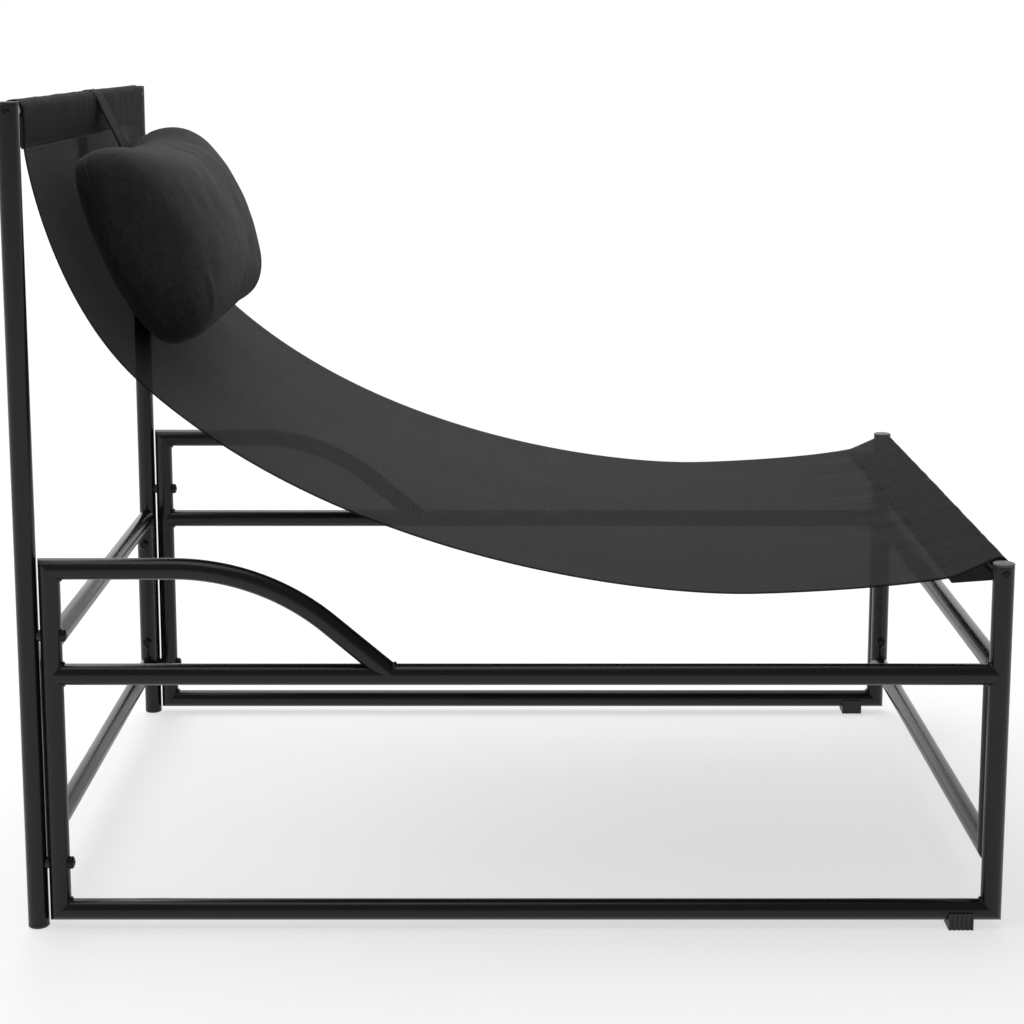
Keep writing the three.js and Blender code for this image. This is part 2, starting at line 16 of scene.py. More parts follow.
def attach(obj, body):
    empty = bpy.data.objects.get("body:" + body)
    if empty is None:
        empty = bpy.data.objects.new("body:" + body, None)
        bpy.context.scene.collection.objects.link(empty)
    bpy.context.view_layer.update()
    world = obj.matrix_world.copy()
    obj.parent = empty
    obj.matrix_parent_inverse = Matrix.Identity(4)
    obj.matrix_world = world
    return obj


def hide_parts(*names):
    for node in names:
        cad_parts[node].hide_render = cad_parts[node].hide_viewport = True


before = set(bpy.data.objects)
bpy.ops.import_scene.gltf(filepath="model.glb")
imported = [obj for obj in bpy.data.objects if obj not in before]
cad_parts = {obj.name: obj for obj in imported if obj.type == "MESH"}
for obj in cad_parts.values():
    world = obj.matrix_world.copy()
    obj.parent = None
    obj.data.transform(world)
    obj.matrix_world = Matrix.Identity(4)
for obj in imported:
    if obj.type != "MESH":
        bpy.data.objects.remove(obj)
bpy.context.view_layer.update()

# ---- Places and sizes, the same as the CAD part's ----

REAR_BAR = np.array([-0.4965, 0.843])
FRONT_BAR = np.array([0.4965, 0.379])
BAR_RADIUS = 0.010
TUBE_RADIUS = 0.011
SIDE_Y = 0.35
CROSS_Y = 0.327
UPRIGHT_X = -0.4965
LEG_X = -0.4729
POST_X = 0.4965
RAIL_Z = 0.018
MID_Z = 0.272
ARM_Z = 0.383
CROSS_LOW = 0.075
CROSS_HIGH = 0.275
UPRIGHT_HEIGHT = 0.853
POST_HEIGHT = 0.389
CAP_THICKNESS = 0.0028
UPRIGHT_FOOT = 0.0033

SLING_WIDTH = 0.668
LOOP_RADIUS = 0.0108
REAR_SEAM = np.array([-0.4857, 0.809])
FRONT_SEAM = np.array([0.4515, 0.3703])
STRAP_WIDTH = 0.048
STRAP_MIDDLE = 0.055
STRAP_RADIUS = 0.0122

LABELS = (("right", -1), ("left", 1))
ENDS = (("rear", UPRIGHT_X, REAR_BAR[1]), ("front", POST_X, FRONT_BAR[1]))

# ---- Materials ----


class Nodes:
    """A node tree with short ways to add and join nodes."""

    def __init__(self, tree):
        self.tree = tree

    def node(self, kind, **settings):
        made = self.tree.nodes.new(kind)
        for key, value in settings.items():
            setattr(made, key, value)
        return made

    def join(self, source, target):
        self.tree.links.new(source, target)

    def put(self, value, socket):
        if isinstance(value, bpy.types.NodeSocket):
            self.join(value, socket)
        else:
            socket.default_value = value

    def math(self, operation, *values):
        made = self.node("ShaderNodeMath", operation=operation)
        for value, socket in zip(values, made.inputs):
            self.put(value, socket)
        return made.outputs[0]

    def noise(self, vector, scale, detail, roughness=0.5):
        made = self.node("ShaderNodeTexNoise")
        self.put(vector, made.inputs["Vector"])
        made.inputs["Scale"].default_value = scale
        made.inputs["Detail"].default_value = detail
        made.inputs["Roughness"].default_value = roughness
        return made.outputs["Fac"]

    def span(self, value, low, high, to_low, to_high, **settings):
        made = self.node("ShaderNodeMapRange", **settings)
        for given, socket in zip((value, low, high, to_low, to_high), made.inputs):
            self.put(given, socket)
        return made.outputs[0]

    def grey(self, value, tint=(1.0, 1.0, 1.0)):
        made = self.node("ShaderNodeCombineColor")
        for share, socket in zip(tint, made.inputs):
            self.join(self.math("MULTIPLY", value, share), socket)
        return made.outputs[0]

    def bump(self, height, distance, strength, below=None):
        made = self.node("ShaderNodeBump")
        made.inputs["Distance"].default_value = distance
        made.inputs["Strength"].default_value = strength
        self.join(height, made.inputs["Height"])
        if below is not None:
            self.join(below, made.inputs["Normal"])
        return made.outputs[0]

    def places(self, kind="Object"):
        return self.node("ShaderNodeTexCoord").outputs[kind]


class Shader(Nodes):
    """A material with its one surface shader."""

    def __init__(self, name):
        self.material = bpy.data.materials.new(name)
        self.material.use_nodes = True
        super().__init__(self.material.node_tree)
        self.surface = self.tree.nodes["Principled BSDF"]

    def set(self, **sockets):
        for name, value in sockets.items():
            self.put(value, self.surface.inputs[name.replace("_", " ")])


COOL = (0.96, 0.98, 1.04)
WHITE = (1.0, 1.0, 1.0, 1.0)


def powder_coat(name, tone, roughness):
    """Semi-gloss powder coat: a faint orange-peel skin, cloudy gloss and a little dust."""
    s = Shader(name)
    at = s.places()
    cloud = s.noise(at, 9.0, 3.0)
    dust = s.noise(at, 420.0, 1.0)
    value = s.span(cloud, 0.3, 0.7, tone * 0.88, tone * 1.12)
    value = s.math("MULTIPLY_ADD", s.span(dust, 0.62, 0.78, 0.0, 1.0), tone * 0.225, value)
    peel = s.noise(at, 900.0, 1.0, 0.4)
    s.set(
        Base_Color=s.grey(value, COOL),
        Roughness=s.span(cloud, 0.3, 0.7, roughness - 0.03, roughness + 0.05),
        Specular_IOR_Level=0.32,
        Normal=s.bump(peel, 0.00012, 0.35),
    )
    return s.material


def moulded_plastic(name, tone, roughness):
    s = Shader(name)
    at = s.places()
    cloud = s.noise(at, 60.0, 2.0)
    grain = s.noise(at, 1500.0, 1.0)
    s.set(
        Base_Color=s.grey(s.span(cloud, 0.3, 0.7, tone * 0.9, tone * 1.1)),
        Roughness=s.span(cloud, 0.3, 0.7, roughness - 0.05, roughness + 0.06),
        Normal=s.bump(grain, 0.0001, 0.4),
    )
    return s.material


def dark_metal(name, tone, roughness):
    s = Shader(name)
    at = s.places()
    wear = s.noise(at, 300.0, 3.0)
    s.set(
        Base_Color=s.grey(s.span(wear, 0.35, 0.7, tone * 0.8, tone * 1.25)),
        Metallic=0.85,
        Roughness=s.span(wear, 0.3, 0.7, roughness - 0.06, roughness + 0.1),
        Normal=s.bump(wear, 0.00008, 0.3),
    )
    return s.material


def weave_height(s, u, v, pitch):
    """Plain weave on metric UVs: its height, and the height of either yarn, which is 0 at a hole."""

    def yarn(at):
        return s.math("ABSOLUTE", s.math("SINE", s.math("MULTIPLY", at, math.pi / pitch)))

    def odd(at):
        return s.math("MODULO", s.math("ABSOLUTE", s.math("FLOOR", s.math("DIVIDE", at, pitch))), 2.0)

    warp, weft = yarn(u), yarn(v)
    over = s.math("ABSOLUTE", s.math("SUBTRACT", odd(u), odd(v)))
    under = s.math("SUBTRACT", 1.0, over)
    height = s.math("ADD", s.math("MULTIPLY", over, warp), s.math("MULTIPLY", under, weft))
    return height, warp, weft


CLOSED_EDGE = 0.0016


def mesh_cloth(name, tone, pitch, openness, half_width):
    """Mesh-woven outdoor fabric: coated yarns in a plain weave, a little see-through but for its edges."""
    s = Shader(name)
    parts = s.node("ShaderNodeSeparateXYZ")
    s.join(s.places("UV"), parts.inputs[0])
    u, v = parts.outputs[0], parts.outputs[1]
    height, warp, weft = weave_height(s, u, v, pitch)
    at = s.places()
    cloud = s.noise(at, 14.0, 3.0)
    fleck = s.noise(at, 700.0, 2.0)
    # Painted shade: the yarns are darker where they dip under their neighbours and towards the holes.
    value = s.span(height, 0.1, 1.0, tone * 0.55, tone * 1.3)
    value = s.math("MULTIPLY", value, s.span(cloud, 0.3, 0.7, 0.94, 1.07))
    value = s.math("MULTIPLY", value, s.span(fleck, 0.3, 0.7, 0.85, 1.15))
    for stretch in ((480.0, 7.0, 1.0), (7.0, 480.0, 1.0)):
        pulled = s.node("ShaderNodeVectorMath", operation="MULTIPLY")
        s.join(s.places("UV"), pulled.inputs[0])
        pulled.inputs[1].default_value = stretch
        yarn = s.noise(pulled.outputs[0], 1.0, 2.0)
        value = s.math("MULTIPLY", value, s.span(yarn, 0.28, 0.72, 0.84, 1.16))
    hole = s.math("MULTIPLY", s.span(warp, 0.0, 0.75, 1.0, 0.0), s.span(weft, 0.0, 0.75, 1.0, 0.0))
    inside = s.math("LESS_THAN", s.math("ABSOLUTE", u), half_width - CLOSED_EDGE)
    passed = s.span(hole, 0.0, 1.0, 0.083 * openness, 0.58 * openness)
    s.set(
        Base_Color=s.grey(value, COOL),
        Roughness=0.7,
        Specular_IOR_Level=0.07,
        Normal=s.bump(height, 0.0005, 0.4),
        Alpha=s.math("SUBTRACT", 1.0, s.math("MULTIPLY", passed, inside)),
    )
    return s.material


def soft_cloth(name, tone, pitch):
    """Soft brushed polyester: a fine weave under a matt nap."""
    s = Shader(name)
    at = s.places()
    parts = s.node("ShaderNodeSeparateXYZ")
    s.join(s.places("UV"), parts.inputs[0])
    height, _, _ = weave_height(s, parts.outputs[0], parts.outputs[1], pitch)
    cloud = s.noise(at, 22.0, 4.0)
    nap = s.noise(at, 1400.0, 2.0)
    mottle = s.noise(at, 160.0, 3.0, 0.65)
    value = s.span(cloud, 0.3, 0.7, tone * 0.88, tone * 1.14)
    # Painted shade: the weave is darker where its yarns dip under each other.
    value = s.math("MULTIPLY", value, s.span(height, 0.0, 1.0, 0.8, 1.1))
    value = s.math("MULTIPLY", value, s.span(nap, 0.3, 0.7, 0.85, 1.15))
    value = s.math("MULTIPLY", value, s.span(mottle, 0.3, 0.7, 0.74, 1.26))
    fine = s.bump(height, 0.0003, 0.5, s.bump(mottle, 0.0009, 0.4))
    s.set(
        Base_Color=s.grey(value, COOL),
        Roughness=0.9,
        Specular_IOR_Level=0.15,
        Sheen_Weight=0.10,
        Sheen_Roughness=0.4,
        Normal=s.bump(nap, 0.0003, 0.35, fine),
    )
    return s.material


def thread(name, tone):
    s = Shader(name)
    twist = s.noise(s.places(), 1800.0, 1.0)
    s.set(
        Base_Color=s.grey(s.span(twist, 0.3, 0.7, tone * 0.7, tone * 1.2)),
        Roughness=0.8,
        Normal=s.bump(twist, 0.0002, 0.5),
    )
    return s.material


PAINT = powder_coat("powder_coat", tone=0.006, roughness=0.25)
BOLT = dark_metal("bolt_black", tone=0.022, roughness=0.34)
INSERT = dark_metal("insert_zinc", tone=0.5, roughness=0.4)
PLASTIC = moulded_plastic("plastic_black", tone=0.014, roughness=0.5)
CAP = moulded_plastic("plastic_cap", tone=0.05, roughness=0.4)
MESH = mesh_cloth("sling_mesh", tone=0.0104, pitch=0.0020, openness=1.0, half_width=SLING_WIDTH / 2)
PILLOW = soft_cloth("pillow_cloth", tone=0.0175, pitch=0.0012)
STRAP = mesh_cloth("strap_weave", tone=0.017, pitch=0.0016, openness=0.0, half_width=STRAP_WIDTH / 2)
THREAD = thread("thread_dark", tone=0.016)
SEAM = thread("pillow_seam_dark", tone=0.006)
WELD = powder_coat("weld_coat", tone=0.008, roughness=0.34)


def paint(obj, material):
    """Puts a material on the object's own slots, so that shared mesh data stays as it is."""
    if not obj.material_slots:
        obj.data.materials.append(material)
    for each in obj.material_slots:
        each.link = "OBJECT"
        each.material = material


def finish_of(name):
    if "insert" in name:
        return INSERT
    if "screw" in name or "bolt" in name:
        return BOLT
    if name.startswith("front_post_cap"):
        return CAP
    if any(word in name for word in ("cap", "plug", "foot", "spacer")):
        return PLASTIC
    return PAINT


for name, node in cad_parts.items():
    paint(node, finish_of(name))


# ---- Making pieces ----


def add(name, vertices, faces, material, smooth=True):
    data = bpy.data.meshes.new(name)
    data.from_pydata([tuple(v) for v in vertices], [], [tuple(f) for f in faces])
    data.update()
    obj = bpy.data.objects.new(name, data)
    bpy.context.collection.objects.link(obj)
    data.materials.append(material)
    if smooth:
        for polygon in data.polygons:
            polygon.use_smooth = True
    return obj


def tidy_normals(obj, merge=None):
    """Turns all faces outward, after joining points closer than merge where that is given."""
    work = bmesh.new()
    work.from_mesh(obj.data)
    if merge is not None:
        bmesh.ops.remove_doubles(work, verts=work.verts, dist=merge)
    bmesh.ops.recalc_face_normals(work, faces=work.faces)
    work.to_mesh(obj.data)
    work.free()


def grid_faces(rows, sides, closed=False):
    """Faces between rings of points that follow each other, closed back to the first ring or not."""
    faces = []
    for i in range(rows if closed else rows - 1):
        for k in range(sides):
            a, b = i * sides + k, i * sides + (k + 1) % sides
            c, d = (i + 1) % rows * sides + k, (i + 1) % rows * sides + (k + 1) % sides
            faces.append((a, b, d, c))
    return faces


def in_frame(obj, node):
    """Hands a piece to the frame's body, in the place of a node where it has one."""
    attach(obj, "frame")
    if node is not None:
        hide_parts(node)


def refine(obj, name):
    smoother = obj.modifiers.new(name, "SUBSURF")
    smoother.levels = 1
    smoother.render_levels = 1


def baked(obj):
    """The object's mesh as its modifiers leave it. The modifiers are taken off."""
    graph = bpy.context.evaluated_depsgraph_get()
    shaped = bpy.data.meshes.new_from_object(obj.evaluated_get(graph))
    obj.modifiers.clear()
    return shaped


# ---- Curves ----


def heading(degrees):
    angle = math.radians(degrees)
    return np.array([math.cos(angle), math.sin(angle)])


def bezier(start, start_way, start_pull, end, end_way, end_pull, steps=60):
    t = np.linspace(0, 1, steps + 1)[:, None]
    a, d = start, end
    b, c = a + start_way * start_pull, d - end_way * end_pull
    return (1 - t) ** 3 * a + 3 * (1 - t) ** 2 * t * b + 3 * (1 - t) * t**2 * c + t**3 * d


def sling_profile():
    """The seat's curve from seam to seam, through its steep waist and its lowest point."""
    span = FRONT_BAR[0] - REAR_BAR[0]
    rise = REAR_BAR[1] - FRONT_BAR[1]
    corner = np.array([REAR_BAR[0], FRONT_BAR[1]])
    waist = corner + np.array([0.1206 * span, 0.4147 * rise])
    lowest = corner + np.array([0.7347 * span, -0.0566 * rise])
    parts = [
        bezier(REAR_SEAM, heading(-90), 0.014 * span, waist, heading(-42.9), 0.12 * span),
        bezier(waist, heading(-42.9), 0.262 * span, lowest, heading(0), 0.122 * span),
        bezier(lowest, heading(0), 0.044 * span, FRONT_SEAM, heading(11.7), 0.054 * span),
    ]
    return np.vstack([parts[0], parts[1][1:], parts[2][1:]])


def tangent_angles(centre, radius, tip):
    """Where the two tangents from a tip touch a circle."""
    reach = tip - centre
    base = math.atan2(reach[1], reach[0])
    wide = math.acos(radius / np.linalg.norm(reach))
    return base + wide, base - wide


def arc(centre, radius, start, end, steps):
    angles = np.linspace(start, end, steps + 1)
    return centre + radius * np.stack([np.cos(angles), np.sin(angles)], axis=1)


def lengths_of(line):
    return np.concatenate([[0], np.cumsum(np.linalg.norm(np.diff(line, axis=0), axis=1))])


DEGREES_PER_POINT = 14


def resample(line, pitch):
    """The line again with points about a pitch apart, closer where it turns."""
    along = lengths_of(line)
    way = np.diff(line, axis=0)
    way /= np.linalg.norm(way, axis=1)[:, None]
    turn = np.concatenate([[0], np.arccos(np.clip((way[1:] * way[:-1]).sum(1), -1, 1)), [0]])
    effort = along / pitch + np.cumsum(turn) / math.radians(DEGREES_PER_POINT)
    count = int(math.ceil(effort[-1]))
    wanted = np.linspace(0, effort[-1], count + 1)
    return np.stack([np.interp(wanted, effort, line[:, i]) for i in (0, 1)], axis=1)


def normals_of(line):
    way = np.gradient(line, axis=0)
    way /= np.linalg.norm(way, axis=1)[:, None]
    return np.stack([-way[:, 1], way[:, 0]], axis=1)


PROFILE = sling_profile()


def sling_line():
    """The sling's middle line: rear hem, over the rear bar, the seat, over the front bar, front hem."""
    rear_hem = REAR_SEAM + [-0.0013, -0.003]
    front_hem = FRONT_SEAM + [-0.004, -0.0058]
    back = tangent_angles(REAR_BAR, LOOP_RADIUS, rear_hem)[1] % (2 * math.pi)
    rear = arc(REAR_BAR, LOOP_RADIUS, back, 0, 24)
    over = tangent_angles(FRONT_BAR, LOOP_RADIUS, FRONT_SEAM)[1] % (2 * math.pi)
    under = tangent_angles(FRONT_BAR, LOOP_RADIUS, front_hem)[0] % (2 * math.pi)
    front = arc(FRONT_BAR, LOOP_RADIUS, over, under - 2 * math.pi, 24)
    return np.vstack([[rear_hem], rear, PROFILE, front, [front_hem]])


# ---- Sling ----


def cloth_strip(name, line, width, middle, pitch_across, material, thickness, shift):
    """A strip of cloth along a line in the XZ plane, as wide as given, with its real flat size as UVs.

    shift says how far the cloth stands off the line at each length along it, for a place across it.
    """
    normals = normals_of(line)
    along = lengths_of(line)
    columns = int(round(width / pitch_across))
    across = np.linspace(-width / 2, width / 2, columns + 1)
    rows = len(line)
    vertices = np.empty((rows, columns + 1, 3))
    for j, y in enumerate(across):
        moved = line + normals * shift(along, y)[:, None]
        vertices[:, j, 0] = moved[:, 0]
        vertices[:, j, 1] = y + middle
        vertices[:, j, 2] = moved[:, 1]
    faces = []
    for i in range(rows - 1):
        for j in range(columns):
            a = i * (columns + 1) + j
            faces.append((a, a + 1, a + columns + 2, a + columns + 1))
    obj = add(name, vertices.reshape(-1, 3), faces, material)
    layer = obj.data.uv_layers.new(name="flat")
    for loop in obj.data.loops:
        i, j = divmod(loop.vertex_index, columns + 1)
        layer.data[loop.index].uv = (across[j], along[i])
    solid = obj.modifiers.new("thickness", "SOLIDIFY")
    solid.thickness = thickness
    solid.offset = 0
    return obj


def sway(value, seed):
    """Smooth wandering value between about -1 and 1."""
    return noise.noise(Vector((value, seed, 0.37 * seed)))


POINT_PITCH = 0.008
SLEEVE = 0.06
line = resample(sling_line(), POINT_PITCH)
along = lengths_of(line)
sling_length = along[-1]
# Each seam point lies close to its hem too, so the sleeve's own length at that end is left out.
rear_seam_at = along[np.argmin(np.linalg.norm(line - REAR_SEAM, axis=1) + (along < SLEEVE))]
front_seam_at = along[np.argmin(np.linalg.norm(line - FRONT_SEAM, axis=1) + (along > sling_length - SLEEVE))]


def sling_shift(at, y):
    """How far the sheet stands off its line: puckers at both sleeves, and a little slack between."""
    out = np.zeros(len(at))
    for i, s in enumerate(at):
        rear = math.exp(-(((s - rear_seam_at) / 0.05) ** 2))
        front = math.exp(-(((s - front_seam_at) / 0.06) ** 2))
        pucker = sway(y * 22, 3.1) + 0.5 * sway(y * 60, 8.2)
        wide = sway(y * 9 + s * 2.0, 5.7)
        in_loop = s < rear_seam_at - 0.004 or s > front_seam_at + 0.004
        if in_loop:
            out[i] = 0.0009 * abs(sway(y * 16, 1.3 if s < 0.5 else 6.1)) + 0.0005 * abs(sway(y * 47, 2.6))
        else:
            ends = min(1.0, (s - rear_seam_at) / 0.1, (front_seam_at - s) / 0.1)
            out[i] = 0.0005 * pucker * (rear + 3.2 * front) + 0.0006 * wide * max(0.0, ends)
    return out


sling = cloth_strip("sling_cloth", line, SLING_WIDTH, 0.0, 0.0067, MESH, 0.0008, sling_shift)
in_frame(sling, "sling")


def stitch_row(name, points, normals, pitch, length, radius):
    """Separate stitches along a line of points, each a small rod that lies on the cloth and dips in."""
    along = lengths_of(points)
    vertices, faces = [], []
    sides = 5
    for k in range(int(along[-1] / pitch)):
        middle = (k + 0.5) * pitch
        ring_at = middle + np.array([-0.5, -0.3, 0.3, 0.5]) * length
        lift = np.array([-0.6, 0.5, 0.5, -0.6]) * radius
        size = np.array([0.5, 1.0, 1.0, 0.5]) * radius
        base = len(vertices)
        for at, up, r in zip(ring_at, lift, size):
            here = np.array([np.interp(at, along, points[:, i]) for i in range(3)])
            ahead = np.array([np.interp(at + 1e-4, along, points[:, i]) for i in range(3)])
            normal = np.array([np.interp(at, along, normals[:, i]) for i in range(3)])
            way = ahead - here
            way /= np.linalg.norm(way) + 1e-12
            side = np.cross(way, normal)
            for q in range(sides):
                turn = 2 * math.pi * q / sides
                vertices.append(here + normal * (up + r * math.cos(turn)) + side * r * math.sin(turn))
        faces += [[base + corner for corner in face] for face in grid_faces(len(size), sides)]
        faces.append([base + q for q in range(sides)][::-1])
        faces.append([base + 3 * sides + q for q in range(sides)])
    return add(name, vertices, faces, THREAD)


STITCH_LIFT = 0.0005
STITCH_MARGIN = 0.004


def seam_across(name, at):
    """A row of stitches across the sling at a length along it."""
    index = int(np.argmin(np.abs(along - at)))
    normal = normals_of(line)[index]
    across = np.linspace(-SLING_WIDTH / 2 + STITCH_MARGIN, SLING_WIDTH / 2 - STITCH_MARGIN, 120)
    shift = np.array([sling_shift(along[index : index + 1], y)[0] for y in across])
    x = line[index, 0] + normal[0] * (shift + STITCH_LIFT)
    z = line[index, 1] + normal[1] * (shift + STITCH_LIFT)
    points = np.stack([x, across, z], axis=1)
    normals = np.repeat([[normal[0], 0.0, normal[1]]], len(across), axis=0)
    row = stitch_row(name, points, normals, pitch=0.0042, length=0.0034, radius=0.00032)
    in_frame(row, None)
    return row


seams = [
    seam_across("rear_seam_upper", rear_seam_at + 0.001),
    seam_across("rear_seam_lower", rear_seam_at + 0.007),
    seam_across("front_seam_inner", front_seam_at - 0.007),
    seam_across("front_seam_outer", front_seam_at - 0.001),
]

# ---- Pillow ----

PILLOW_MIDDLE = np.array([-0.3904, 0.6970])
PILLOW_UP = heading(112)
PILLOW_FRONT = heading(22)
HALF_UP = 0.113
HALF_FRONT = 0.061
HALF_WIDE = 0.236
SLING_GAP = 0.0015


def power(value, exponent):
    return math.copysign(abs(value) ** exponent, value)


def local_of(points):
    """Pillow coordinates of points: front, across and up."""
    flat = points[:, [0, 2]] - PILLOW_MIDDLE
    return np.stack([flat @ PILLOW_FRONT, points[:, 1], flat @ PILLOW_UP], axis=1)


def world_of(front, y, up):
    here = PILLOW_MIDDLE + PILLOW_FRONT * front + PILLOW_UP * up
    return np.array([here[0], y, here[1]])


def seam_front(up):
    """How far in front of the pillow's middle plane its perimeter seam runs, at a height."""
    t = min(max(-up / 0.085, 0.0), 1.0)
    return -0.024 + 0.020 * t * t * (3 - 2 * t)


def pillow_shape(name):
    """Two panels sewn round the edge: a deep front one, full almost to its ends, and a flatter back."""
    around_steps, along_steps = 80, 56
    vertices = []
    for i in range(along_steps + 1):
        share = -math.cos(math.pi * i / along_steps)
        tall = max(0.0, 1 - abs(share) ** 16) ** (1 / 2.6)
        thick = max(0.0, 1 - abs(share) ** (3.2 if share < 0 else 9)) ** (1 / 2.2)
        for j in range(around_steps):
            angle = 2 * math.pi * j / around_steps
            up = HALF_UP * tall * power(math.sin(angle), 2 / 2.9)
            seam = seam_front(up)
            depth = HALF_FRONT - seam if math.cos(angle) > 0 else HALF_FRONT + seam
            front = seam + depth * thick * power(math.cos(angle), 2 / 2.7)
            vertices.append(world_of(front, HALF_WIDE * share, up))
    obj = add(name, vertices, grid_faces(along_steps + 1, around_steps), PILLOW)
    tidy_normals(obj, merge=0.0002)
    return obj


def above_sling(points):
    """For points (x, z): distance in front of the sling's middle line, nearest place and normal."""
    distance = np.empty(len(points))
    foot = np.empty((len(points), 2))
    normal = np.empty((len(points), 2))
    normals = normals_of(PROFILE)
    for i, p in enumerate(points):
        k = int(np.argmin(((PROFILE - p) ** 2).sum(1)))
        distance[i] = (p - PROFILE[k]) @ normals[k]
        foot[i], normal[i] = PROFILE[k], normals[k]
    return distance, foot, normal


def coordinates(obj):
    flat = np.empty(len(obj.data.vertices) * 3)
    obj.data.vertices.foreach_get("co", flat)
    return flat.reshape(-1, 3)


def set_coordinates(obj, points):
    obj.data.vertices.foreach_set("co", np.ascontiguousarray(points).ravel())
    obj.data.update()


def keep_off_sling(points):
    flat = points[:, [0, 2]]
    distance, foot, normal = above_sling(flat)
    low = distance < SLING_GAP
    flat[low] = foot[low] + normal[low] * SLING_GAP
    points[:, 0], points[:, 2] = flat[:, 0], flat[:, 1]
    return points


def run_cloth(obj, frames, pinned, **settings):
    """The object's mesh after some frames as cloth without gravity, pinned by a vertex group."""
    cloth = obj.modifiers.new("cloth", "CLOTH")
    for key, value in settings.items():
        setattr(cloth.settings, key, value)
    cloth.settings.effector_weights.gravity = 0
    cloth.settings.vertex_group_mass = pinned
    cloth.collision_settings.use_collision = False
    cloth.point_cache.frame_start = 1
    cloth.point_cache.frame_end = frames
    scene = bpy.context.scene
    for at in range(1, frames + 1):
        scene.frame_set(at)
    shaped = baked(obj)
    scene.frame_set(1)
    return shaped


VOXEL = 0.006
MOST_SWELL = 0.007


def puff(obj):
    """Swells the cushion as cloth under pressure, held along its seam and where it rests on the sling."""
    remesh = obj.modifiers.new("even", "REMESH")
    remesh.mode = "VOXEL"
    remesh.voxel_size = VOXEL
    even = baked(obj)
    # The remesh leaves small steps, so its points are laid back on the shape as drawn.
    drawn = BVHTree.FromPolygons(
        [v.co for v in obj.data.vertices], [tuple(face.vertices) for face in obj.data.polygons]
    )
    obj.data = even
    start = keep_off_sling(np.array([drawn.find_nearest(Vector(p))[0] for p in coordinates(obj)]))
    set_coordinates(obj, start)
    distance, _, _ = above_sling(start[:, [0, 2]])
    group = obj.vertex_groups.new(name="held")
    for index, gap in enumerate(distance):
        local = start[index][[0, 2]] - PILLOW_MIDDLE
        on_seam = abs(local @ PILLOW_FRONT - seam_front(local @ PILLOW_UP)) < 0.004
        weight = 1.0 if gap < 2 * SLING_GAP else 0.35 if on_seam else 0.0
        group.add([index], weight, "REPLACE")
    obj.data = run_cloth(
        obj,
        frames=18,
        pinned="held",
        mass=0.12,
        tension_stiffness=12.0,
        compression_stiffness=12.0,
        shear_stiffness=4.0,
        bending_stiffness=1.5,
        use_pressure=True,
        uniform_pressure_force=3.0,
    )
    change = coordinates(obj) - start
    reach = np.linalg.norm(change, axis=1)
    change *= np.minimum(1.0, MOST_SWELL / np.maximum(reach, 1e-9))[:, None]
    set_coordinates(obj, start + change)


def smooth_over(obj, steps):
    """Evens a mesh out, which takes away the ripples left by the cloth's own grid."""
    modifier = obj.modifiers.new("even_out", "SMOOTH")
    modifier.factor = 0.5
    modifier.iterations = steps
    obj.data = baked(obj)


def near_line(local, start, end, width):
    """1 on a straight stretch in pillow coordinates, falling off over a width."""
    start, end = np.array(start), np.array(end)
    way = end - start
    along = np.clip(((local - start) @ way) / (way @ way), 0, 1)
    apart = np.linalg.norm(local - start - along[:, None] * way, axis=1)
    return np.exp(-((apart / width) ** 2))


# Start, end, width and height of each crease, in pillow coordinates. A negative one is pressed in.
CREASES = [
    ((0.044, -0.178, -0.060), (0.030, -0.184, -0.098), 0.006, 0.0020),
    ((-0.016, -0.215, -0.050), (-0.003, -0.215, -0.084), 0.006, 0.0022),
    ((0.020, -0.190, -0.108), (0.034, -0.120, -0.100), 0.006, -0.0016),
    ((0.054, 0.060, -0.050), (0.050, 0.150, -0.072), 0.010, -0.0016),
    ((0.030, 0.205, 0.085), (0.046, 0.165, 0.050), 0.010, -0.0018),
    ((-0.020, -0.222, 0.060), (-0.012, -0.222, 0.090), 0.007, 0.0016),
    ((0.012, 0.030, 0.110), (0.036, 0.000, 0.090), 0.014, -0.0020),
    ((0.012, 0.080, 0.110), (0.036, 0.105, 0.088), 0.014, -0.0016),
]


def shape_pillow(points):
    """Ears at the top corners, a dip where the strap pulls, soft hollows and a few creases."""
    local = local_of(points)
    front, y, up = local.T
    top = np.clip(up / HALF_UP, 0, 1) ** 2
    low = np.clip(-up / HALF_UP, 0, 1) ** 2
    ear = 0.0075 * np.exp(-(((y - 0.195) / 0.040) ** 2)) * top
    ear += 0.0030 * np.exp(-(((y + 0.205) / 0.030) ** 2)) * top
    dip = -0.0095 * np.exp(-((y / 0.15) ** 6)) * top
    corner = 0.004 * np.exp(-(((y - 0.2) / 0.05) ** 2)) * low
    lift = ear + dip - corner
    points = points.copy()
    points[:, 0] += PILLOW_UP[0] * lift
    points[:, 2] += PILLOW_UP[1] * lift
    swell = np.empty(len(points))
    for i, p in enumerate(points):
        v = Vector(p)
        swell[i] = 0.0018 * noise.noise(v * 12) + 0.0008 * noise.noise(v * 34 + Vector((3, 1, 7)))
    for start, end, width, height in CREASES:
        swell += height * near_line(local, start, end, width)
    face = np.clip(front / HALF_FRONT + 0.6, 0, 1)
    points[:, 0] += PILLOW_FRONT[0] * swell * face
    points[:, 2] += PILLOW_FRONT[1] * swell * face
    points[:, 1] += np.sign(y) * swell * np.clip((np.abs(y) - 0.18) / 0.03, 0, 1)
    return points


pillow = pillow_shape("pillow_cushion")
set_coordinates(pillow, keep_off_sling(coordinates(pillow)))
puff(pillow)
smooth_over(pillow, 6)
set_coordinates(pillow, keep_off_sling(shape_pillow(coordinates(pillow))))
refine(pillow, "fine")
pillow.data = baked(pillow)


